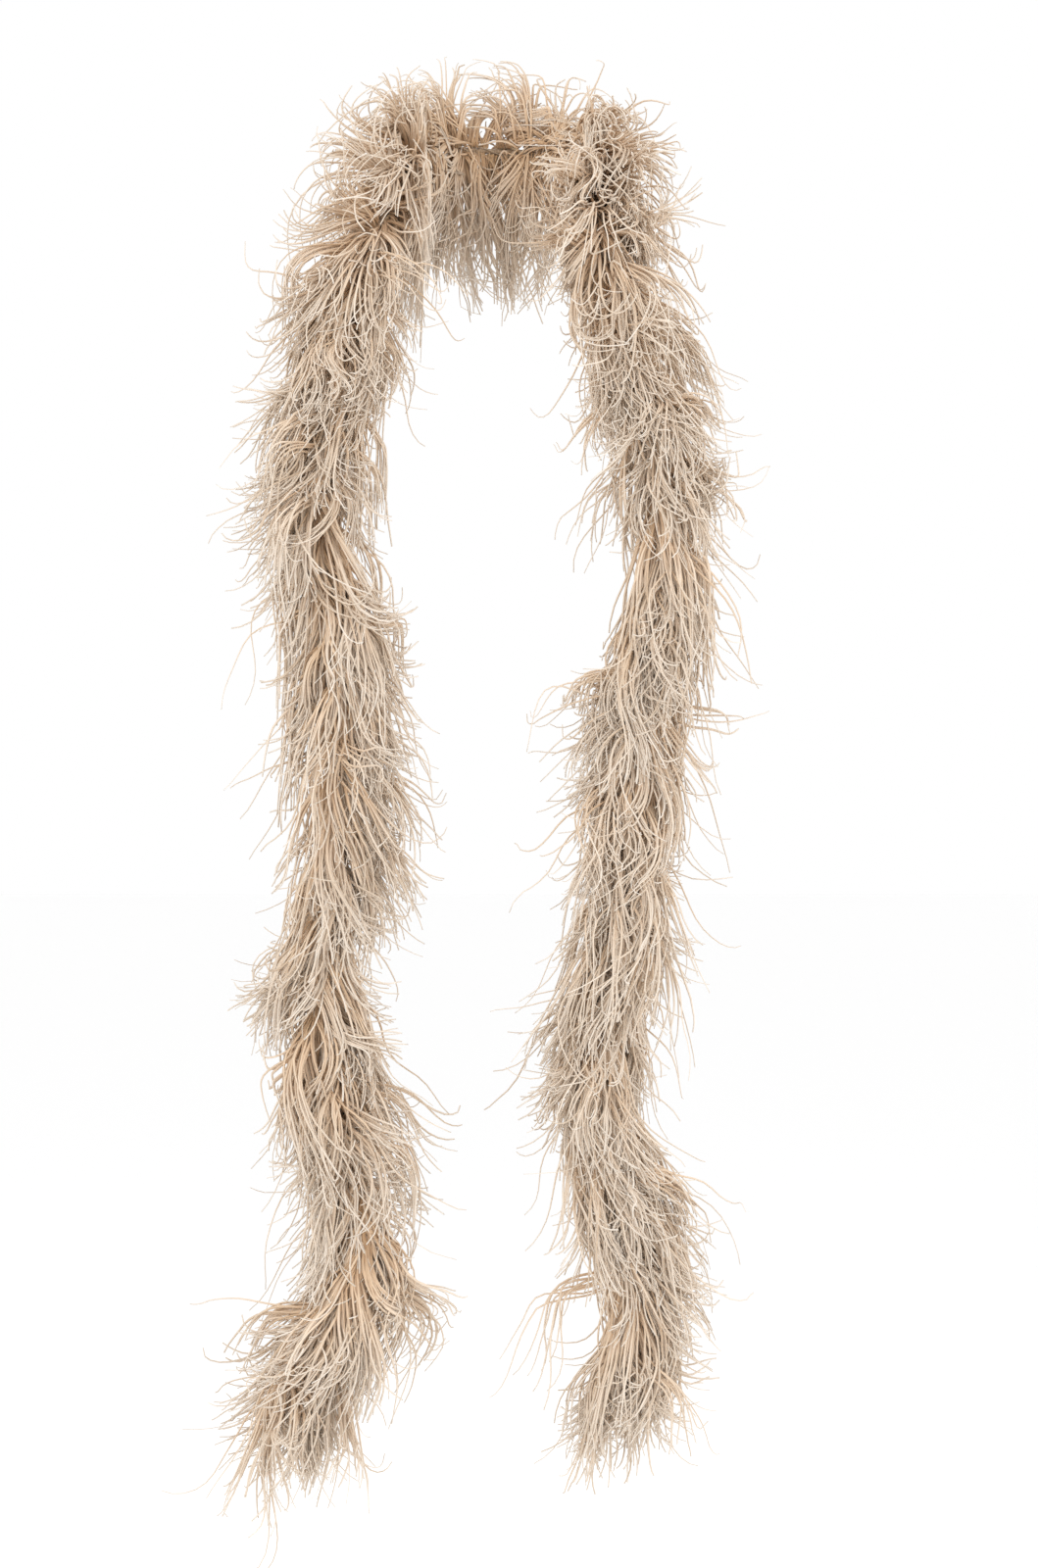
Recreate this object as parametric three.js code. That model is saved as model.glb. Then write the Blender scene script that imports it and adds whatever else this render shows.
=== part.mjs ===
// A feather boa as it hangs on a wearer's neck: millimetres, +Z up, the wearer faces -Y.
// The origin is the point of the nape that the boa rests on. Left and right are as seen from the front.
import * as THREE from "three";

// Sizes of the cord and of what is bound to it
const CORE_D = 4; // twisted core cord
const QUILL_D = 1.8; // pared quill of a plume
const THREAD_D = 0.9; // binding thread
const GAP = 0.35; // between pieces that touch
const TURN = 45; // one turn of quill and thread round the core
const BEND_L = 16; // cord that flexes at a joint
const THREAD_BREAK = 8; // thread left out at a joint

// Sizes of the plumes
const REACH_NECK = 50; // from the cord to the tips, round the neck
const REACH_TAIL = 66; // the same, on the hanging tails
const DROOP = 70; // how far tips hang below their roots
const BLADE_ROOT = 2.4; // thickness of a plume's band of barbs at the quill
const BLADE_MID = 5; // the same, half-way out
const BLADE_TIP = 2; // the same, at the tips
const PLUME_GAP = 3; // along the cord, between two plumes
const BRIDGE = 60; // each side of a joint that a plume bridges
const CROWDED = 0.5; // share of a bend's radius that plumes fill on its inner side

// Where the joints are, along the cord from the nape
const COLLAR_PIVOT = 250;
const MID_PIVOT = 690;
const PLUMES = { neck: 4, upper: 3, lower: 3 };
const STEP_NECK = 13;
const STEP_TAIL = 30;

// The ends of the cord
const WHIP_L = 9; // thread whipping near the end
const WHIP_WALL = 1.1;
const WHIP_INSET = 3; // from the cord's end to the whipping
const KNOT_D = 9;

// The wearer, who only shapes the side of the plumes that is pressed flat
const NECK_R = 50;
const SKIN_GAP = 0.5; // between the wearer and the pressed plumes
const NAPE_TO_CORD = 11; // feathers squeezed between the nape and the cord
const CHEST_TO_CORD = 36;
const CHEST_TOP = -30;
const CHEST_FULL = -100;
const CHEST_END = -330;
const FREE_BELOW = -450;

// The cord's route, from the left end over the nape to the right end
const ROUTE = [
  [-164, -138, -930], [-155, -140, -898], [-133, -144, -862], [-110, -148, -822],
  [-103, -150, -776], [-121, -147, -716], [-137, -143, -655], [-132, -140, -575],
  [-126, -144, -470], [-124, -148, -390], [-133, -147, -305], [-133, -143, -243],
  [-121, -132, -170], [-110, -116, -110], [-98, -98, -71], [-86, -79, -38],
  [-75, -58, -11], [-63, -34, 4], [-46, -7, 9], [0, NAPE_TO_CORD, 10],
  [46, -7, 9], [62, -34, 3], [65, -60, -14], [66, -83, -42],
  [69, -102, -76], [78, -117, -113], [91, -131, -165], [106, -142, -226],
  [111, -147, -280], [106, -148, -335], [105, -146, -395], [97, -142, -485],
  [89, -141, -560], [80, -144, -620], [65, -148, -668], [61, -149, -708],
  [72, -146, -765], [88, -141, -822], [91, -138, -866], [76, -136, -913],
];
const NAPE_POINT = 19;
const FINE = 60; // length samples in each span of the route

const route = new THREE.CatmullRomCurve3(ROUTE.map((p) => new THREE.Vector3(...p)), false, "centripetal");
route.arcLengthDivisions = FINE * (ROUTE.length - 1);
const lengths = route.getLengths();
const TOTAL = lengths[lengths.length - 1];
const LEFT_END = -lengths[FINE * NAPE_POINT];
const RIGHT_END = TOTAL + LEFT_END;

const SAMPLES = 600;
const frames = route.computeFrenetFrames(SAMPLES, false);

// Point, tangent and two normals at a distance s along the cord from the nape, right side positive
function frameAt(s) {
  const u = THREE.MathUtils.clamp((s - LEFT_END) / TOTAL, 0, 1);
  const i = Math.min(Math.floor(u * SAMPLES), SAMPLES - 1);
  const tangent = route.getTangentAt(u);
  const normal = frames.normals[i].clone().lerp(frames.normals[i + 1], u * SAMPLES - i);
  normal.addScaledVector(tangent, -normal.dot(tangent)).normalize();
  const side = tangent.clone().cross(normal);
  return { point: route.getPointAt(u), tangent, normal, side };
}

// The cord's own pieces, from end to end, and the rings that all pieces on it follow
const sides = { left: -1, right: 1 };
const coreStretches = [];
for (const [side, sign] of Object.entries(sides)) {
  const end = Math.abs(side === "left" ? LEFT_END : RIGHT_END);
  const half = BEND_L / 2;
  const add = (name, from, to, steps) => {
    const ends = [sign * from, sign * to].sort((a, b) => a - b);
    coreStretches.push({ name, from: ends[0], to: ends[1], steps });
  };
  add(`core_bend_${side}_collar`, COLLAR_PIVOT - half, COLLAR_PIVOT + half, 2);
  const upper = [COLLAR_PIVOT + half + GAP, MID_PIVOT - half - GAP];
  add(`core_cord_${side}_upper`, ...upper, Math.round((upper[1] - upper[0]) / STEP_TAIL));
  add(`core_bend_${side}_mid`, MID_PIVOT - half, MID_PIVOT + half, 2);
  const lower = [MID_PIVOT + half + GAP, end];
  add(`core_cord_${side}_lower`, ...lower, Math.round((lower[1] - lower[0]) / STEP_TAIL));
}
const neckEnd = COLLAR_PIVOT - BEND_L / 2 - GAP;
const neckSteps = Math.round((2 * neckEnd) / STEP_NECK);
coreStretches.push({ name: "core_cord_neck", from: -neckEnd, to: neckEnd, steps: neckSteps });
coreStretches.sort((a, b) => a.from - b.from);

const rings = [];
for (const { from, to, steps } of coreStretches) {
  for (let i = 0; i <= steps; i += 1) {
    const s = from + ((to - from) * i) / steps;
    rings.push({ s, ...frameAt(s) });
  }
}

// A point beside the cord, at a radius and an angle round it, which keeps to the cord's straight steps
function beside(s, radius, angle) {
  let i = rings.findIndex((ring) => ring.s > s) - 1;
  if (i < 0) i = s < 0 ? 0 : rings.length - 2;
  const [a, b] = [rings[i], rings[i + 1]];
  const onRing = (ring) =>
    ring.point.clone()
      .addScaledVector(ring.normal, radius * Math.cos(angle))
      .addScaledVector(ring.side, radius * Math.sin(angle));
  return onRing(a).lerp(onRing(b), (s - a.s) / (b.s - a.s));
}

class Stretch extends THREE.Curve {
  constructor(from, to) {
    super();
    Object.assign(this, { from, to });
  }

  getPoint(t) {
    return frameAt(this.from + t * (this.to - this.from)).point;
  }
}

function polygon(diameter, count) {
  const points = [];
  for (let i = 0; i < count; i += 1) {
    const angle = (2 * Math.PI * (i + 0.5)) / count;
    points.push(new THREE.Vector2(Math.cos(angle), Math.sin(angle)).multiplyScalar(diameter / 2));
  }
  return new THREE.Shape(points);
}

function swept(path, diameter, count, steps) {
  return new THREE.ExtrudeGeometry(polygon(diameter, count), { steps, extrudePath: path });
}

// Materials
const surface = (colour, roughness) => new THREE.MeshStandardMaterial({ color: colour, roughness, metalness: 0 });
const materials = {
  core: surface(0xb59a77, 0.9),
  quill: surface(0xcdb795, 0.6),
  thread: surface(0xbfa583, 0.8),
  feather: surface(0xd9c7ae, 0.85),
};

const boa = new THREE.Group();
boa.name = "feather_boa";

function addPiece(name, geometry, material) {
  const mesh = new THREE.Mesh(geometry, material);
  mesh.name = name;
  boa.add(mesh);
}

// Core cord
const CORE_SIDES = 8;
for (const { name, from, to, steps } of coreStretches) {
  addPiece(name, swept(new Stretch(from, to), CORE_D, CORE_SIDES, steps), materials.core);
}

// Quills and binding thread, wound side by side round the core
const QUILL_AT = CORE_D / 2 + GAP + QUILL_D / 2;
const THREAD_AT = CORE_D / 2 + GAP + THREAD_D / 2;
const QUILL_SIDES = 5;
const THREAD_SIDES = 4;
const STEPS_PER_TURN = 10;
const turned = (s) => (2 * Math.PI * s) / TURN;

// Where a winding's sections lie along the cord: at each of the cord's rings, and evenly between them
function stations(from, to) {
  const count = Math.ceil(((to - from) / TURN) * STEPS_PER_TURN);
  const step = (to - from) / count;
  const fixed = [from, to, ...rings.map((ring) => ring.s).filter((s) => s > from + 1 && s < to - 1)];
  const even = Array.from({ length: count }, (_, i) => from + i * step);
  const free = even.filter((s) => fixed.every((f) => Math.abs(f - s) > 0.45 * step));
  return [...fixed, ...free].sort((a, b) => a - b);
}

function winding(from, to, at, start, diameter, count) {
  const along = stations(from, to);
  const last = along.length - 1;
  const tube = new THREE.CylinderGeometry(diameter / 2, diameter / 2, 1, count, last);
  const centres = along.map((s) => beside(s, at, start + turned(s)));
  const place = tube.attributes.position;
  for (let i = 0; i < place.count; i += 1) {
    const j = Math.round((place.getY(i) + 0.5) * last);
    const onward = centres[Math.min(j + 1, last)].clone().sub(centres[Math.max(j - 1, 0)]).normalize();
    const outward = centres[j].clone().sub(beside(along[j], 0, 0)).cross(onward).normalize();
    const across = outward.clone().cross(onward);
    const at = centres[j].clone().addScaledVector(outward, place.getX(i)).addScaledVector(across, place.getZ(i));
    place.setXYZ(i, at.x, at.y, at.z);
  }
  tube.computeVertexNormals();
  return tube;
}

function addThread(name, from, to) {
  const [low, high] = [from, to].sort((a, b) => a - b);
  addPiece(name, winding(low, high, THREAD_AT, Math.PI, THREAD_D, THREAD_SIDES), materials.thread);
}

// Plumes: each is a band of barbs that stands on its quill and winds round the cord with it
const BLADE_AT = QUILL_AT + QUILL_D / 2 + GAP;
const lerp = THREE.MathUtils.lerp;
const smooth = (x) => THREE.MathUtils.smoothstep(x, 0, 1);

// The direction from the cord towards the wearer, and how far the plumes reach that way
function wearerSide(point) {
  const chest = smooth((CHEST_TOP - point.z) / (CHEST_TOP - CHEST_FULL));
  const free = smooth((CHEST_END - point.z) / (CHEST_END - FREE_BELOW));
  const toward = new THREE.Vector3(-point.x, -NECK_R - point.y, 0).normalize();
  toward.lerp(new THREE.Vector3(0, 1, 0), chest);
  toward.z = -3 * chest * (1 - chest);
  const pressed = lerp(NAPE_TO_CORD - SKIN_GAP, CHEST_TO_CORD, chest);
  const reach = lerp(REACH_NECK, REACH_TAIL, chest);
  return { toward: toward.normalize(), pressed: lerp(pressed, REACH_TAIL, free), reach };
}

// How fast the cord turns, and which way, in 1/mm
function bendAt(s) {
  const span = 6;
  return frameAt(s + span).tangent.sub(frameAt(s - span).tangent).divideScalar(2 * span);
}

function bladeThickness(u) {
  return u < 0.5 ? lerp(BLADE_ROOT, BLADE_MID, 2 * u) : lerp(BLADE_MID, BLADE_TIP, 2 * u - 1);
}

function plumeBand(from, to) {
  const along = stations(from, to);
  const last = along.length - 1;
  const band = new THREE.BoxGeometry(1, 1, 1, last, 2, 1);
  const place = band.attributes.position;
  for (let i = 0; i < place.count; i += 1) {
    const s = along[Math.round((place.getX(i) + 0.5) * last)];
    const u = place.getY(i) + 0.5;
    const { point, tangent } = frameAt(s);
    const outward = beside(s, 1, turned(s)).sub(beside(s, 0, 0)).normalize();
    const { toward, pressed, reach } = wearerSide(point);
    const facing = outward.dot(toward);
    const bent = outward.dot(bendAt(s));
    let tip = facing * reach > pressed ? pressed / facing : reach;
    if (bent * tip > CROWDED) tip = CROWDED / bent;
    const at = beside(s, lerp(BLADE_AT, tip, u), turned(s));
    const hang = -tangent.z * DROOP * (tip / reach) * u ** 1.6;
    at.addScaledVector(tangent, hang - place.getZ(i) * bladeThickness(u));
    place.setXYZ(i, at.x, at.y, at.z);
  }
  band.computeVertexNormals();
  return band;
}

function addPlume(label, from, to) {
  const ends = [from, to].sort((a, b) => a - b);
  const [low, high] = [ends[0] + PLUME_GAP / 2, ends[1] - PLUME_GAP / 2];
  addPiece(`quill_${label}`, winding(low, high, QUILL_AT, 0, QUILL_D, QUILL_SIDES), materials.quill);
  addPiece(`plume_${label}`, plumeBand(low, high), materials.feather);
}

function addPlumes(label, from, to, count) {
  for (let i = 0; i < count; i += 1) {
    addPlume(`${label}_${i + 1}`, lerp(from, to, i / count), lerp(from, to, (i + 1) / count));
  }
}

addPlumes("neck", BRIDGE - COLLAR_PIVOT, COLLAR_PIVOT - BRIDGE, PLUMES.neck);
addThread("binding_thread_neck", THREAD_BREAK / 2 - COLLAR_PIVOT, COLLAR_PIVOT - THREAD_BREAK / 2);

const PLUME_INSET = WHIP_INSET + WHIP_L + GAP;
for (const [side, sign] of Object.entries(sides)) {
  const end = Math.abs(side === "left" ? LEFT_END : RIGHT_END);
  const lowest = end - PLUME_INSET;
  addPlume(`${side}_collar`, sign * (COLLAR_PIVOT - BRIDGE), sign * (COLLAR_PIVOT + BRIDGE));
  addPlumes(`${side}_upper`, sign * (COLLAR_PIVOT + BRIDGE), sign * (MID_PIVOT - BRIDGE), PLUMES.upper);
  addPlume(`${side}_mid`, sign * (MID_PIVOT - BRIDGE), sign * (MID_PIVOT + BRIDGE));
  addPlumes(`${side}_lower`, sign * (MID_PIVOT + BRIDGE), sign * lowest, PLUMES.lower);
  const rest = THREAD_BREAK / 2;
  addThread(`binding_thread_${side}_upper`, sign * (COLLAR_PIVOT + rest), sign * (MID_PIVOT - rest));
  addThread(`binding_thread_${side}_lower`, sign * (MID_PIVOT + rest), sign * lowest);

  // A whipping of thread round each end of the cord, and the knot beyond it
  const turnTo = (geometry, s) => {
    const { point, tangent } = frameAt(sign * s);
    const away = tangent.clone().multiplyScalar(sign);
    const turn = new THREE.Quaternion().setFromUnitVectors(new THREE.Vector3(0, 1, 0), away);
    return geometry.applyQuaternion(turn).translate(point.x, point.y, point.z);
  };
  const inner = CORE_D / 2 + GAP;
  const outer = inner + WHIP_WALL;
  const edge = WHIP_WALL / 3;
  const band = [
    [inner, -WHIP_L / 2], [outer - edge, -WHIP_L / 2], [outer, edge - WHIP_L / 2],
    [outer, WHIP_L / 2 - edge], [outer - edge, WHIP_L / 2], [inner, WHIP_L / 2], [inner, -WHIP_L / 2],
  ].map((p) => new THREE.Vector2(...p));
  const whipping = new THREE.LatheGeometry(band, 16);
  addPiece(`end_whipping_${side}`, turnTo(whipping, end - WHIP_INSET - WHIP_L / 2), materials.thread);

  const knot = new THREE.LatheGeometry(
    [[0, 0], [0.26, 0], [0.44, 0.2], [0.5, 0.45], [0.4, 0.72], [0.2, 0.88], [0, 0.9]]
      .map(([r, h]) => new THREE.Vector2(r * KNOT_D, GAP + h * KNOT_D)),
    14,
  );
  addPiece(`end_knot_${side}`, turnTo(knot, end), materials.core);
}

export default boa;
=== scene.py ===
import math

import bpy
import numpy as np
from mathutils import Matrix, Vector


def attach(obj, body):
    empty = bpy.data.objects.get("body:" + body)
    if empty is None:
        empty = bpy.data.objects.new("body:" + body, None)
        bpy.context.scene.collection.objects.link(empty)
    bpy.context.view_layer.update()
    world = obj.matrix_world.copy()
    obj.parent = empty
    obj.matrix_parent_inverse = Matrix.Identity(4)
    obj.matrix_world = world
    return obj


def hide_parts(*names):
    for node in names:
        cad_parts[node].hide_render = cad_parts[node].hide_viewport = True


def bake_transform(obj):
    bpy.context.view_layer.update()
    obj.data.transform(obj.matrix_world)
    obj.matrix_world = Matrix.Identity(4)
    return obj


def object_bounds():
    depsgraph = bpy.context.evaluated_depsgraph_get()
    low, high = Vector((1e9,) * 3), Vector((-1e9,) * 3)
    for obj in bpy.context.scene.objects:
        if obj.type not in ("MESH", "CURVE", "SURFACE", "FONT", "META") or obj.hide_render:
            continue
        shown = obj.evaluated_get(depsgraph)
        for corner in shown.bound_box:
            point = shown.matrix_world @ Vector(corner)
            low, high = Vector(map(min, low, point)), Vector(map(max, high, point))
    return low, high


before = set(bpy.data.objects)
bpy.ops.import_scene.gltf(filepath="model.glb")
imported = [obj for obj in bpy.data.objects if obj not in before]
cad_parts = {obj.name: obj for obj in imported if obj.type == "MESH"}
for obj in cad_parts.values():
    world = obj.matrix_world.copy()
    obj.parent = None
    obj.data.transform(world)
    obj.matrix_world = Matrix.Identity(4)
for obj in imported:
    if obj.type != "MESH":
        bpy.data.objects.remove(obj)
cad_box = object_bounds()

# ---------------------------------------------------------------- the view
# A level camera at the height of the wearer's waist, a few steps in front, with a portrait lens.
camera = bpy.data.objects.new("camera", bpy.data.cameras.new("camera"))
camera.data.lens = 85
camera.data.sensor_width = 36
camera.location = (0.0077, -2.827, -0.4745)
camera.rotation_euler = (math.radians(90), 0, 0)
bpy.context.scene.collection.objects.link(camera)
bpy.context.scene.camera = camera
bpy.context.scene.view_settings.view_transform = "Standard"

# ---------------------------------------------------------------- core cord
# One twisted cotton cord of three strands, 4 mm thick, from end to end of the boa. It lies over the
# nape and hangs down both sides of the chest. It is one real cord, in five lengths that meet a little
# above the joints.
NAPE = 19  # which of the route's points lies on the nape
ROUTE = np.array([
    (-164, -138, -930), (-155, -140, -898), (-133, -144, -862), (-110, -148, -822),
    (-103, -150, -776), (-121, -147, -716), (-137, -143, -655), (-132, -140, -575),
    (-126, -144, -470), (-124, -148, -390), (-133, -147, -305), (-133, -143, -243),
    (-121, -132, -170), (-110, -116, -110), (-98, -98, -71), (-86, -79, -38),
    (-75, -58, -11), (-63, -34, 4), (-46, -7, 9), (0, 11, 10),
    (46, -7, 9), (62, -34, 3), (65, -60, -14), (66, -83, -42),
    (69, -102, -76), (78, -117, -113), (91, -131, -165), (106, -142, -226),
    (111, -147, -280), (106, -148, -335), (105, -146, -395), (97, -142, -485),
    (89, -141, -560), (80, -144, -620), (65, -148, -668), (61, -149, -708),
    (72, -146, -765), (88, -141, -822), (91, -138, -866), (76, -136, -913),
]) / 1000
CORE_D = 0.004
COLLAR = 0.250  # along the cord from the nape to the upper joints
MID = 0.690  # and to the lower joints
FINE = 400  # samples in each span of the route


def smooth_route(points, fine):
    """A centripetal spline through the points, as a dense row of places."""
    ends = np.vstack([2 * points[0] - points[1], points, 2 * points[-1] - points[-2]])
    row = []
    for a, b, c, d in zip(ends, ends[1:], ends[2:], ends[3:]):
        ab, bc, cd = (math.sqrt(np.linalg.norm(q - p)) for p, q in ((a, b), (b, c), (c, d)))
        leave = ((b - a) / ab - (c - a) / (ab + bc) + (c - b) / bc) * bc
        arrive = ((c - b) / bc - (d - b) / (bc + cd) + (d - c) / cd) * bc
        t = np.linspace(0, 1, fine, endpoint=False)[:, None]
        row.append(
            b + leave * t
            + (3 * (c - b) - 2 * leave - arrive) * t ** 2
            + (2 * (b - c) + leave + arrive) * t ** 3
        )
    return np.vstack(row + [points[-1:]])


def unit(v):
    return v / np.maximum(np.linalg.norm(v, axis=-1, keepdims=True), 1e-12)


def carried_normals(tangents, first):
    """Normals carried along a row of tangents without twisting."""
    normals = np.empty_like(tangents)
    normals[0] = first
    for i in range(1, len(tangents)):
        n = normals[i - 1] - tangents[i] * (normals[i - 1] @ tangents[i])
        normals[i] = n / np.linalg.norm(n)
    return normals


line = smooth_route(ROUTE, FINE)
walked = np.concatenate([[0], np.cumsum(np.linalg.norm(np.diff(line, axis=0), axis=1))])
along = walked - walked[NAPE * FINE]
LEFT_END, RIGHT_END = along[0], along[-1]
tangents = unit(np.gradient(line, axis=0))
smallest = np.eye(3)[np.argmin(np.abs(tangents[0]))]
start = unit(np.cross(tangents[0], np.cross(tangents[0], smallest)))
normals = carried_normals(tangents, start)


def at_cord(s):
    """Place, tangent and two normals at distances s along the cord from the nape, right side positive."""
    s = np.asarray(s, float)
    pick = lambda table: np.stack([np.interp(s, along, table[:, i]) for i in range(3)], -1)
    place, tangent = pick(line), unit(pick(tangents))
    past = s - np.clip(s, LEFT_END, RIGHT_END)
    place = place + tangent * past[..., None]
    normal = pick(normals)
    normal = unit(normal - tangent * (normal * tangent).sum(-1, keepdims=True))
    return place, tangent, normal, np.cross(tangent, normal)


def mesh_piece(name, vertices, quads, triangles, material):
    """A new piece from places and faces, in the frame's own place."""
    mesh = bpy.data.meshes.new(name)
    corners = np.concatenate([np.ravel(quads), np.ravel(triangles)]).astype(np.int32)
    starts = np.concatenate([
        np.arange(len(quads)) * 4,
        len(quads) * 4 + np.arange(len(triangles)) * 3,
    ]).astype(np.int32)
    mesh.vertices.add(len(vertices))
    mesh.vertices.foreach_set("co", np.asarray(vertices, np.float32).ravel())
    mesh.loops.add(len(corners))
    mesh.loops.foreach_set("vertex_index", corners)
    mesh.polygons.add(len(starts))
    mesh.polygons.foreach_set("loop_start", starts)
    mesh.polygons.foreach_set("use_smooth", np.ones(len(starts), bool))
    mesh.update(calc_edges=True)
    mesh.materials.append(material)
    piece = bpy.data.objects.new(name, mesh)
    bpy.context.scene.collection.objects.link(piece)
    return piece


def tubes(centres, radii, sides, outline=None, first=None, twist=None):
    """Closed tubes: centres is (tubes, rings, 3), radii (tubes, rings). Returns places, quads, end faces."""
    count, rings, _ = centres.shape
    t = unit(np.gradient(centres, axis=1))
    u = np.empty_like(t)
    if first is None:
        first = np.cross(t[:, 0], np.where(np.abs(t[:, :1, 2:])[:, 0] > 0.8, (1.0, 0, 0), (0, 0, 1.0)))
    u[:, 0] = unit(first - t[:, 0] * (first * t[:, 0]).sum(-1, keepdims=True))
    for k in range(1, rings):
        u[:, k] = unit(u[:, k - 1] - t[:, k] * (u[:, k - 1] * t[:, k]).sum(-1, keepdims=True))
    v = np.cross(t, u)
    turn = np.linspace(0, 2 * np.pi, sides, endpoint=False)
    shape = np.ones(sides) if outline is None else outline
    angle = turn + (0 if twist is None else np.asarray(twist)[..., None])
    angle = np.broadcast_to(angle, (count, rings, sides))[..., None]
    radius = (radii[..., None] * shape)[..., None]
    places = centres[:, :, None] + radius * (np.cos(angle) * u[:, :, None] + np.sin(angle) * v[:, :, None])
    ids = np.arange(count * rings * sides).reshape(count, rings, sides)
    nxt = np.roll(ids, -1, axis=2)
    quads = np.stack([ids[:, :-1], nxt[:, :-1], nxt[:, 1:], ids[:, 1:]], -1).reshape(-1, 4)
    fan = [(0, i, i + 1) for i in range(1, sides - 1)]
    near = np.concatenate([ids[:, 0][:, [a, c, b]] for a, b, c in fan])
    far = np.concatenate([ids[:, -1][:, [a, b, c]] for a, b, c in fan])
    return places.reshape(-1, 3), quads, np.concatenate([near, far])


def nodes_of(material):
    """The node tree of a material, with its shader."""
    material.use_nodes = True
    tree = material.node_tree
    return tree, next(n for n in tree.nodes if n.type == "BSDF_PRINCIPLED")


def fibre_material(name, dark, light, scale, roughness, sheen):
    """A surface mottled between a dark and a light tone, for cord, thread and quill."""
    material = bpy.data.materials.new(name)
    tree, shader = nodes_of(material)
    place = tree.nodes.new("ShaderNodeTexCoord")
    noise = tree.nodes.new("ShaderNodeTexNoise")
    noise.inputs["Scale"].default_value = scale
    noise.inputs["Detail"].default_value = 4
    ramp = tree.nodes.new("ShaderNodeValToRGB")
    ramp.color_ramp.elements[0].position = 0.35
    ramp.color_ramp.elements[0].color = (*dark, 1)
    ramp.color_ramp.elements[1].position = 0.68
    ramp.color_ramp.elements[1].color = (*light, 1)
    bump = tree.nodes.new("ShaderNodeBump")
    bump.inputs["Strength"].default_value = 0.4
    bump.inputs["Distance"].default_value = 0.0002
    link = tree.links.new
    link(place.outputs["Object"], noise.inputs["Vector"])
    link(noise.outputs["Fac"], ramp.inputs["Fac"])
    link(ramp.outputs["Color"], shader.inputs["Base Color"])
    link(noise.outputs["Fac"], bump.inputs["Height"])
    link(bump.outputs["Normal"], shader.inputs["Normal"])
    shader.inputs["Roughness"].default_value = roughness
    shader.inputs["Sheen Weight"].default_value = sheen
    return material


core_cotton = fibre_material(
    "core_cotton", dark=(0.30, 0.20, 0.12), light=(0.50, 0.37, 0.25), scale=900, roughness=0.9, sheen=0.3,
)

STRANDS = 3
CORE_SIDES = 18
CORE_RING = 0.003  # between rings
CORE_TWIST = 0.022  # one turn of the strands
STRAND_R = 0.464 * CORE_D / 2
STRAND_AT = CORE_D / 2 - STRAND_R
HOLLOW = 0.74  # of the cord's radius, the lowest that the grooves between strands go

around = np.linspace(0, 2 * np.pi, CORE_SIDES, endpoint=False)
off = (around + np.pi / STRANDS) % (2 * np.pi / STRANDS) - np.pi / STRANDS
inside = np.maximum(STRAND_R ** 2 - (STRAND_AT * np.sin(off)) ** 2, 0)
strand_outline = np.maximum((STRAND_AT * np.cos(off) + np.sqrt(inside)) / (CORE_D / 2), HOLLOW)


def cord_length(name, low, high):
    """A length of the twisted cord, and the places that it follows."""
    s = np.linspace(low, high, int(round((high - low) / CORE_RING)) + 1)
    place, _, normal, _ = at_cord(s)
    rope = tubes(
        place[None], np.full((1, len(s)), CORE_D / 2), CORE_SIDES,
        strand_outline, normal[None, 0], 2 * np.pi * s[None] / CORE_TWIST,
    )
    return mesh_piece(name, *rope, core_cotton), place


LAP = 0.020  # lengths of cord meet this far above each bend, so that each joint bends one length
SOFT = 0.040  # each side of a joint over which the boa bends
SIDES = {"left": -1, "right": 1}
END = {"left": -LEFT_END, "right": RIGHT_END}


def bend_at(piece):
    """Bakes a piece's transform into its mesh and leaves it in the frame's own place."""
    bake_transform(piece)


meet = COLLAR - SOFT - LAP
neck_rope, neck_path = cord_length("core_rope_neck", -meet, meet)
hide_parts("core_cord_neck")
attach(neck_rope, "neck")
for side, sign in SIDES.items():
    spans = {
        "upper": ("collar", meet, MID - SOFT - LAP, "object"),
        "lower": ("mid", MID - SOFT - LAP, END[side], "knot"),
    }
    for part, (joint, near, far, far_end) in spans.items():
        rope, path = cord_length(f"core_rope_{side}_{part}", *sorted((sign * near, sign * far)))
        path = path[::sign]
        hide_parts(f"core_bend_{side}_{joint}", f"core_cord_{side}_{part}")
        bend_at(rope)

# ---------------------------------------------------------------- quills and binding thread
# Each plume's pared quill spirals round the cord, and a cotton thread winds beside it and ties it
# down. A quill is horn, pale tan and slightly glossy, with fine mottling.
TURN = 0.045  # along the cord, in one turn of quill and thread
GAP = 0.00035  # left between pieces that lie against each other
QUILL_D = 0.0018
THREAD_D = 0.0009
BRIDGE = 0.060  # how far the plume over a joint goes to each side of it
WOUND_SIDES = 8
RINGS_A_TURN = 16
QUILL_AT = CORE_D / 2 + GAP + QUILL_D / 2
THREAD_AT = CORE_D / 2 + GAP + THREAD_D / 2

horn = fibre_material(
    "quill_horn", dark=(0.46, 0.33, 0.20), light=(0.66, 0.53, 0.38), scale=500, roughness=0.45, sheen=0.0,
)
thread_cotton = fibre_material(
    "thread_cotton", dark=(0.36, 0.26, 0.17), light=(0.58, 0.46, 0.33), scale=1500, roughness=0.85, sheen=0.3,
)


def turned(s):
    return 2 * np.pi * s / TURN


def beside(s, radius, angle):
    """A place beside the cord, at a radius and an angle round it."""
    place, _, normal, side = at_cord(s)
    return place + radius * (np.cos(angle)[..., None] * normal + np.sin(angle)[..., None] * side)


def winding(name, low, high, radius, nape_angle, diameter, pitch, material):
    """A round strand that winds round the cord from low to high, one turn in each pitch."""
    s = np.linspace(low, high, int(math.ceil((high - low) / pitch * RINGS_A_TURN)) + 1)
    centres = beside(s, radius, nape_angle + 2 * np.pi * s / pitch)
    tube = tubes(centres[None], np.full((1, len(s)), diameter / 2), WOUND_SIDES)
    return mesh_piece(name, *tube, material)


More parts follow.
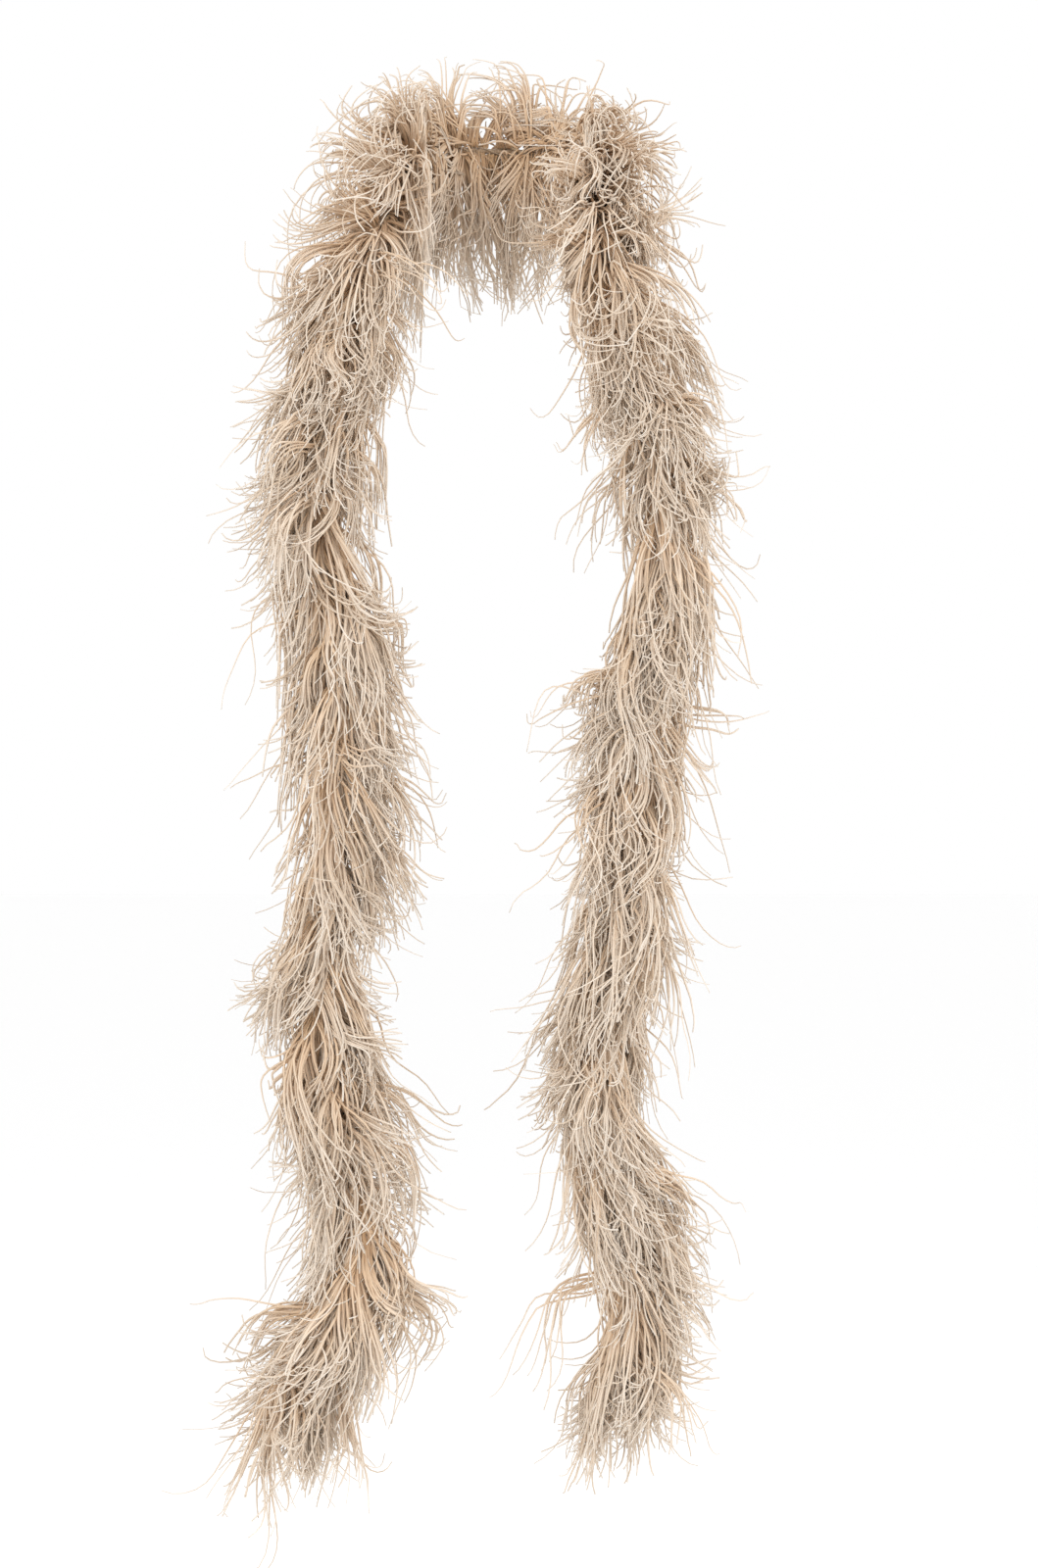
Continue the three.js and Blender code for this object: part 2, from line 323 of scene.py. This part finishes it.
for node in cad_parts:
    if node.startswith("quill_"):
        for holder in bpy.data.objects[node].material_slots:
            holder.material = horn

thread = winding("thread_neck", -meet, meet, THREAD_AT, np.pi, THREAD_D, TURN, thread_cotton)
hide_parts("binding_thread_neck")
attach(thread, "neck")
PLUME_INSET = 0.01235  # from the cord's end to the lowest plume
for side, sign in SIDES.items():
    spans = {
        "upper": ("collar", COLLAR, meet, MID - SOFT - LAP),
        "lower": ("mid", MID, MID - SOFT - LAP, END[side] - PLUME_INSET),
    }
    for part, (joint, pivot, near, far) in spans.items():
        thread = winding(
            f"thread_{side}_{part}", *sorted((sign * near, sign * far)),
            THREAD_AT, np.pi, THREAD_D, TURN, thread_cotton,
        )
        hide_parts(f"binding_thread_{side}_{part}")
        bend_at(thread)
        quill = winding(
            f"bent_quill_{side}_{joint}", *sorted((sign * (pivot - BRIDGE), sign * (pivot + BRIDGE))),
            QUILL_AT, 0, QUILL_D, TURN, horn,
        )
        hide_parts(f"quill_{side}_{joint}")
        bend_at(quill)

# ---------------------------------------------------------------- plumes
# Each plume is split ostrich feather: long soft barbs, a millimetre or two wide with their down, that
# stand out all round because their quill spirals. They cling in locks, arch down and curl at the tip.
REACH_NECK = 0.050  # about how far barbs stand out from the cord, round the neck
REACH_TAIL = 0.066  # and on the tails
PRESSED_NAPE = 0.0105  # how far barbs reach towards the wearer
PRESSED_CHEST = 0.036
PRESSED_FREE = 1.3 * REACH_TAIL  # where the tails hang clear of the wearer
NECK_R = 0.050
NECK_GAP = 0.001  # between the neck and the barbs
NECK_LOW, NECK_FADE = -0.11, 0.05  # from this height up barbs keep off the neck, and fully this much above
CHEST_TOP, CHEST_FULL = -0.030, -0.100  # heights between which the cord goes from the neck to the chest
CHEST_END, FREE_BELOW = -0.330, -0.450  # heights between which it comes clear of the chest
SHOULDER_END, SHOULDER_FADE = 0.17, 0.16  # along the cord from the nape
ENDING, ENDING_FADE = 0.10, 0.09  # the lowest part of each tail, where barbs are shorter
NEARBY, NEARBY_PLACES = 0.12, 25  # along the cord, where a barb's nearest place on it is looked for

BARBS_PER_M = 6300
BARB_L = 0.118  # a middling barb
SHORTEST, LONGEST = 0.05, 0.150
BARB_R = (0.00065, 0.00106)  # with its down
BARB_STEPS = 15
BARB_SIDES = 4
ROOT_DEPTH = 0.9  # barbs start just inside the middle of the quill
LOCK, LOCK_SPREAD = 11, 6  # barbs that cling together, and how many more or fewer
STRAYS = 0.08  # share of the barbs that hardly cling
STRAY_EXTRA = 1.15  # how many times longer strays are, and how many times the reach they go
CRESTS = {"left": (-0.555, 0.21), "right": (0.636, 0.37)}  # where it fluffs out most, and how far apart
SWELL = 0.13  # the share by which it is fuller there
LEAN = 2.2  # down the cord, against 1 outwards, where barbs leave the quill
DRIFT_STEP = 0.04  # along the cord, between changes in the way that neighbours lie
# How strongly barbs bend, in radians over their length
SAG = 1.3  # under their own weight
CURL, CURL_SPREAD = 1.5, 1.2  # outwards and up at the tip
CURL_RANGE = (-3, 4.5)
HOOK = 1.0  # any way at the tip
SWEEP = 0.7  # any way all along
WAVE = 2.2  # to and fro, a lock together
CRINKLE = 1.5  # to and fro, each barb on its own
TIGHTEST = 4.5  # the most that they bend anywhere
CLING = 0.5  # share of the way to the middle of its lock that a barb is drawn
LOOSEST, TIDIEST = 1.12, 0.46  # shares of the reach that set how far out locks go

UP = np.array((0.0, 0.0, 1.0))
# The room that the whole boa keeps within, a little more than its solids take up
ROOM_SHARE, ROOM_MARGIN = 0.027, 0.009
ROOM = np.array(cad_box)
ROOM += (ROOM_SHARE * (ROOM[1] - ROOM[0]) + ROOM_MARGIN) * np.array([[-1.0], [1.0]])


def smooth(x):
    x = np.clip(x, 0, 1)
    return x * x * (3 - 2 * x)


def feather_material():
    """Barbs go from tan at the quill to cream at the tip, and each has a tone of its own. The tan near the
    quill is partly the feather's own colour and partly painted shade of the dense core.
    """
    material = bpy.data.materials.new("ostrich_barbs")
    tree, shader = nodes_of(material)
    link = tree.links.new
    out = tree.nodes.new("ShaderNodeAttribute")
    out.attribute_name = "out"
    tone = tree.nodes.new("ShaderNodeAttribute")
    tone.attribute_name = "tone"
    ramp = tree.nodes.new("ShaderNodeValToRGB")
    # the darker, warmer stops near the quill are partly the feather's own tan and partly painted shade
    # between the barbs at the core
    stops = [
        (0.0, (0.63, 0.42, 0.24)), (0.22, (0.77, 0.59, 0.42)),
        (0.6, (0.79, 0.68, 0.565)), (1.0, (0.80, 0.73, 0.65)),
    ]
    elements = ramp.color_ramp.elements
    elements[0].position, elements[0].color = stops[0][0], (*stops[0][1], 1)
    elements[1].position, elements[1].color = stops[-1][0], (*stops[-1][1], 1)
    for position, colour in stops[1:-1]:
        elements.new(position).color = (*colour, 1)
    shade = tree.nodes.new("ShaderNodeMix")
    shade.data_type = "RGBA"
    shade.blend_type = "MULTIPLY"
    shade.inputs["Factor"].default_value = 1
    tones = tree.nodes.new("ShaderNodeValToRGB")
    tones.color_ramp.elements[0].color = (0.75, 0.67, 0.58, 1)
    tones.color_ramp.elements[1].color = (1.03, 1.03, 1.03, 1)
    link(out.outputs["Fac"], ramp.inputs["Fac"])
    link(tone.outputs["Fac"], tones.inputs["Fac"])
    link(ramp.outputs["Color"], shade.inputs["A"])
    link(tones.outputs["Color"], shade.inputs["B"])
    link(shade.outputs["Result"], shader.inputs["Base Color"])
    shader.inputs["Roughness"].default_value = 0.62
    shader.inputs["Specular IOR Level"].default_value = 0.1
    shader.inputs["Sheen Weight"].default_value = 0.45
    shader.inputs["Sheen Roughness"].default_value = 0.5
    shader.inputs["Sheen Tint"].default_value = (1.0, 0.86, 0.72, 1)
    return material


ostrich = feather_material()


def wearer_side(place):
    """The direction from the cord towards the wearer, how far barbs reach that way and the other ways."""
    z = place[:, 2]
    chest = smooth((CHEST_TOP - z) / (CHEST_TOP - CHEST_FULL))[:, None]
    free = smooth((CHEST_END - z) / (CHEST_END - FREE_BELOW))[:, None]
    inward = unit(np.stack([-place[:, 0], -NECK_R - place[:, 1], np.zeros_like(z)], -1))
    toward = inward * (1 - chest) + np.array((0, 1.0, 0)) * chest - UP * 3 * chest * (1 - chest)
    pressed = PRESSED_NAPE + (PRESSED_CHEST - PRESSED_NAPE) * chest
    pressed = pressed + (PRESSED_FREE - pressed) * free
    reach = REACH_NECK + (REACH_TAIL - REACH_NECK) * chest[:, 0]
    return unit(toward), pressed[:, 0], reach


def shoulders_at(s):
    """1 at the nape and over the shoulders, fading to 0 down the chest."""
    return 1 - smooth((np.abs(s) - SHOULDER_END) / SHOULDER_FADE)


def ending_at(s):
    """1 at the ends of the cord, and 0 further up than a hand's width."""
    return smooth((np.abs(s) - np.where(s < 0, END["left"], END["right"]) + ENDING) / ENDING_FADE)


def cling_together(path, lock, sizes, stray, rng):
    """Draws the barbs of a lock together half-way out, and strays hardly at all."""
    starts = np.concatenate([[0], np.cumsum(sizes)[:-1]])
    mean = np.add.reduceat(path, starts, axis=0) / sizes[:, None, None]
    t = np.linspace(0, 1, BARB_STEPS + 1)
    cling = CLING * np.sin(np.pi * t ** 0.85) * np.clip(1 + rng.normal(0, 0.3, len(path)), 0, 1.4)[:, None]
    cling = np.where(stray[:, None], 0.2 * cling, cling)[..., None]
    return path + (mean[lock] - path) * cling


def held_in(path, s, reach, free):
    """Keeps barbs within about 1.2 times free of the nearest cord, but lets them hang at the neck."""
    span = NEARBY * (1 - 0.7 * shoulders_at(s))[:, None]
    nearby, *_ = at_cord(s[:, None] + span * np.linspace(-1, 1, NEARBY_PLACES))
    gaps = np.linalg.norm(path[:, :, None] - nearby[:, None], axis=3)
    nearest = np.take_along_axis(nearby, gaps.argmin(2)[..., None], axis=1)
    out = path - nearest
    r = np.linalg.norm(out, axis=2, keepdims=True) + 1e-9
    easy, most = 0.6 * free[:, None, None], 0.62 * free[:, None, None]
    kept = out * np.where(r > easy, easy + most * np.tanh((r - easy) / most), r) / r
    at_neck = np.clip((REACH_TAIL - reach) / (REACH_TAIL - REACH_NECK), 0, 1)[:, None]
    hanging = np.minimum(out[..., 2], kept[..., 2])
    kept[..., 2] += (hanging - kept[..., 2]) * at_neck
    return nearest + kept


def off_the_wearer(path, place, toward, pressed):
    """Presses barbs flat on the wearer's side. Those inside the neck come out on the side they grow from."""
    deep = ((path - place[:, None]) * toward[:, None]).sum(2)
    limit = pressed[:, None]
    flat = np.where(deep > 0, limit * np.tanh(deep / limit), deep)
    path = path + toward[:, None] * (flat - deep)[..., None]
    apart = path[..., :2] - (0.0, -NECK_R)
    way = unit(place[:, None, :2] - (0.0, -NECK_R))
    forward = (apart * way).sum(2)
    within = (NECK_R + NECK_GAP) ** 2 - (apart ** 2).sum(2)
    push = np.sqrt(np.maximum(forward ** 2 + within, 0)) - forward
    push = np.where(within > 0, push, 0) * smooth((path[..., 2] - NECK_LOW) / NECK_FADE)
    path[..., :2] += way * push[..., None]
    return path


def barb_curves(low, high, fullness, crowding, rng):
    """The centre lines of a plume's barbs: (barbs, rings, 3), and which of the barbs stray."""
    locks = max(2, int((high - low) * BARBS_PER_M * crowding / LOCK))
    sizes = rng.integers(LOCK - LOCK_SPREAD, LOCK + LOCK_SPREAD + 1, locks)
    lock = np.repeat(np.arange(locks), sizes)
    barbs = len(lock)
    of_lock = lambda spread, shape=(): rng.normal(0, spread, (locks, *shape))[lock]
    own = lambda spread, shape=(): rng.normal(0, spread, (barbs, *shape))

    s = np.clip(rng.uniform(low, high, locks)[lock] + own(0.0025), low, high)
    angle = turned(s) + of_lock(1.7) + own(0.24)
    place, tangent, normal, side = at_cord(s)
    outward = np.cos(angle)[:, None] * normal + np.sin(angle)[:, None] * side
    sideways = np.cross(tangent, outward)
    downhill = -tangent * tangent[:, 2:]
    toward, pressed, reach = wearer_side(place)
    crest, spacing = CRESTS["left"] if high + low < 0 else CRESTS["right"]
    swell = 1 + SWELL * np.cos(2 * np.pi * (s - crest) / spacing)
    shoulders, ending = shoulders_at(s), ending_at(s)

    # they leave the quill leaning down the cord, but stand up over the shoulders and at the nape
    into = np.maximum((outward * toward).sum(1), 0) * (1 - np.clip(pressed / reach, 0, 1))
    lean = LEAN * (1 - 0.68 * shoulders) * (1 - 0.3 * ending) / (fullness * swell)
    lean = np.clip(lean * np.exp(of_lock(0.5) + own(0.14)), 0.15, 5)[:, None]
    marks = np.arange(low - DRIFT_STEP, high + 2 * DRIFT_STEP, DRIFT_STEP)
    drift = np.stack([np.interp(s, marks, rng.normal(0, 1, len(marks))) for _ in range(3)], -1)
    heading = outward + lean * downhill + tangent * of_lock(0.28, (1,)) + 0.15 * drift + own(0.09, (3,))
    heading = heading + sideways * of_lock(1, (1,)) * (0.25 + 0.8 * into)[:, None]
    heading = unit(heading - 0.9 * toward * into[:, None])
    length = BARB_L * (1 - 0.08 * shoulders) * (1 - 0.24 * ending) * np.exp(of_lock(0.15) + own(0.08))
    length = np.clip(length, SHORTEST, LONGEST)

    # then they fall, wave a little, and hook outwards or inwards at the tip
    sag = SAG * (1 - 0.75 * shoulders) * np.exp(of_lock(0.35) + own(0.15))
    calm = (1 - 0.42 * shoulders)[:, None]
    curl = (CURL + of_lock(CURL_SPREAD) + own(0.35)) * np.exp(of_lock(0.6))
    hook = (of_lock(HOOK, (3,)) + own(0.4, (3,))) * calm
    sweep = (SWEEP * drift + of_lock(SWEEP, (3,)) + own(0.22, (3,))) * calm
    wave = (of_lock(WAVE, (3,)) + own(0.5, (3,))) * calm
    waves = rng.uniform(0.8, 1.6, locks)[lock] + own(0.08)
    phase = rng.uniform(0, 2 * np.pi, locks)[lock] + own(0.25)
    crinkle = own(CRINKLE, (3,)) * calm
    crinkles, kink = rng.uniform(1.8, 3.0, barbs), rng.uniform(0, 2 * np.pi, barbs)
    stray = rng.random(barbs) < STRAYS
    length = np.where(stray, length * STRAY_EXTRA, length)
    curl = np.clip(np.where(stray, curl * 1.5 + 0.8, curl), *CURL_RANGE)

    path = np.empty((barbs, BARB_STEPS + 1, 3))
    path[:, 0] = place + outward * QUILL_AT * ROOT_DEPTH
    step = (length / BARB_STEPS)[:, None]
    tip_way = unit(outward * (1, 1, 0.3) + UP * 0.45)
    for k in range(BARB_STEPS):
        t = (k + 0.5) / BARB_STEPS
        late = smooth((t - 0.45) / 0.55)
        bend = -UP * (sag * (1.6 - late))[:, None] + late * 1.8 * (tip_way * curl[:, None] + hook)
        bend = bend + sweep + wave * np.sin(2 * np.pi * waves * t + phase)[:, None]
        bend = bend + crinkle * np.sin(2 * np.pi * crinkles * t + kink)[:, None]
        bend = bend - heading * (bend * heading).sum(1, keepdims=True)
        bend = bend / np.maximum(1, np.linalg.norm(bend, axis=1, keepdims=True) / TIGHTEST)
        heading = unit(heading + bend / BARB_STEPS)
        path[:, k + 1] = path[:, k] + heading * step

    # and none stands out further from the cord than its neighbours let it
    path = cling_together(path, lock, sizes, stray, rng)
    free = (TIDIEST + (LOOSEST - TIDIEST) * rng.random(locks) ** 2.0)[lock] * np.exp(own(0.12))
    free = fullness * swell * reach * free * (1 - 0.2 * ending) * (1 + 0.07 * shoulders)
    free = np.where(stray, STRAY_EXTRA * reach, free)
    path = off_the_wearer(held_in(path, s, reach, free), place, toward, pressed)
    return np.clip(path, *ROOM), stray


def plume(name, low, high, seed, fullness=1.0, crowding=1.0):
    """A plume's barbs, thickest a fifth of the way out and thinner towards their tips."""
    rng = np.random.default_rng(seed)
    path, stray = barb_curves(low, high, fullness, crowding, rng)
    barbs = len(path)
    t = np.linspace(0, 1, BARB_STEPS + 1)
    shape = 0.8 + 0.35 * smooth(t / 0.2) * (1 - smooth((t - 0.2) / 0.7)) - 0.28 * t ** 3
    thinner = crowding ** -0.4 * np.where(stray, 0.75, 1.0)[:, None]
    radii = rng.uniform(*BARB_R, barbs)[:, None] * thinner * shape
    piece = mesh_piece(name, *tubes(path, radii, BARB_SIDES), ostrich)
    out = np.repeat(np.tile(t, barbs), BARB_SIDES)
    tone = np.clip(rng.normal(0.6, 0.22, barbs), 0, 1)
    for label, values in (("out", out), ("tone", np.repeat(tone, (BARB_STEPS + 1) * BARB_SIDES))):
        layer = piece.data.attributes.new(label, "FLOAT", "POINT")
        layer.data.foreach_set("value", values.astype(np.float32))
    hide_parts(name.replace("barbs_", "plume_"))
    return piece


NECK_PLUMES, TAIL_PLUMES = 4, 3
FULLNESS = {"left": 0.98, "right": 0.84}  # of the tails, against 1 round the neck
NECK_CROWDING = 1.3  # more barbs, and thinner, over the shoulders and at the nape
seed = 1  # another for each plume, so that no two have the same barbs
edges = np.linspace(BRIDGE - COLLAR, COLLAR - BRIDGE, NECK_PLUMES + 1)
for i, (low, high) in enumerate(zip(edges, edges[1:])):
    piece = plume(f"barbs_neck_{i + 1}", low, high, seed, crowding=NECK_CROWDING)
    seed += 1
    if i in (0, NECK_PLUMES - 1):
        bend_at(piece)
    else:
        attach(piece, "neck")

for side, sign in SIDES.items():
    lowest = END[side] - PLUME_INSET
    for part, joint, near, far in (
        ("upper", "collar", COLLAR, MID - BRIDGE), ("lower", "mid", MID, lowest),
    ):
        ends = sorted((sign * (near - BRIDGE), sign * (near + BRIDGE)))
        crowding = NECK_CROWDING if joint == "collar" else 1.0
        bend_at(plume(f"barbs_{side}_{joint}", *ends, seed, FULLNESS[side], crowding))
        seed += 1
        edges = np.linspace(near + BRIDGE, far, TAIL_PLUMES + 1)
        for i, ends in enumerate(zip(edges, edges[1:])):
            ends = sorted(sign * e for e in ends)
            piece = plume(f"barbs_{side}_{part}_{i + 1}", *ends, seed, FULLNESS[side])
            seed += 1
            if part == "upper" and i == TAIL_PLUMES - 1:
                bend_at(piece)
            else:
                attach(piece, f"{side}_{part}")

# ---------------------------------------------------------------- end whippings
# Waxed cotton thread, 1.1 mm thick, is wound round the cord in close turns near each end, so that
# the strands can't unravel.
WHIP_L = 0.009
WHIP_INSET = 0.003
WHIP_D = 0.0011
WHIP_TURN = WHIP_D * 1.04  # turns lie just clear of each other

for side, sign in SIDES.items():
    inner = END[side] - WHIP_INSET - WHIP_L
    ends = sorted((sign * (inner + WHIP_D / 2), sign * (inner + WHIP_L - WHIP_D / 2)))
    whipping = winding(
        f"whipping_{side}", *ends, CORE_D / 2 + GAP + WHIP_D / 2, 0, WHIP_D, WHIP_TURN, thread_cotton,
    )
    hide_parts(f"end_whipping_{side}")
    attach(whipping, f"{side}_lower")

# ---------------------------------------------------------------- end knots
# The cord's own cotton end is tied in an overhand knot below the whipping, and pulled tight. It is
# thinner there than the cord, because the knot squeezes it.
KNOT_D = 0.009
KNOT_STRAND = 0.0027
KNOT = np.array([
    (0.00, 0.03, 0.00), (0.02, 0.16, 0.05), (0.17, 0.42, 0.14), (-0.04, 0.66, 0.20), (-0.23, 0.46, 0.02),
    (-0.05, 0.24, -0.19), (0.21, 0.38, -0.12), (0.10, 0.60, 0.03), (-0.13, 0.44, 0.12), (-0.16, 0.28, 0.20),
    (0.02, 0.50, -0.08), (0.05, 0.76, -0.04), (0.02, 0.86, 0.00),
])

for side, sign in SIDES.items():
    place, tangent, normal, across = at_cord(sign * END[side])
    away = tangent * sign
    turn = np.stack([normal, away, across])
    line_of_knot = smooth_route(KNOT * KNOT_D, 8) @ turn + place + away * GAP
    count = len(line_of_knot)
    tube = tubes(line_of_knot[None], np.full((1, count), KNOT_STRAND / 2), 12)
    knot = mesh_piece(f"knot_{side}", *tube, core_cotton)
    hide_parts(f"end_knot_{side}")
    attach(knot, f"{side}_lower")

# ---------------------------------------------------------------- floor and light
# A plain pale floor where the wearer would stand, and large soft lamps: two in front and one behind.
FLOOR_Z = -1.45
bpy.ops.object.select_all(action="DESELECT")
bpy.ops.mesh.primitive_plane_add(size=60, location=(0, 0, FLOOR_Z))
floor = bpy.context.object
floor.name = "floor"
paper = bpy.data.materials.new("white_paper")
tree, shader = nodes_of(paper)
shader.inputs["Base Color"].default_value = (0.99, 0.99, 0.99, 1)
shader.inputs["Roughness"].default_value = 0.9
floor.data.materials.append(paper)


def lamp(name, place, aim, size, power):
    light = bpy.data.lights.new(name, "AREA")
    light.size = size
    light.energy = power
    holder = bpy.data.objects.new(name, light)
    holder.location = place
    holder.rotation_euler = (Vector(aim) - Vector(place)).to_track_quat("-Z", "Y").to_euler()
    bpy.context.scene.collection.objects.link(holder)


MIDDLE = (0, -0.1, -0.45)
lamp("key", (-1.6, -2.2, 1.2), MIDDLE, 1.4, 30)
lamp("fill", (2.0, -1.8, 0.2), MIDDLE, 1.6, 20)
lamp("back", (0.3, 2.2, 1.4), MIDDLE, 1.6, 14)

world = bpy.data.worlds.new("studio")
bpy.context.scene.world = world
world.use_nodes = True
world.node_tree.nodes["Background"].inputs["Color"].default_value = (1, 1, 1, 1)
world.node_tree.nodes["Background"].inputs["Strength"].default_value = 1.0
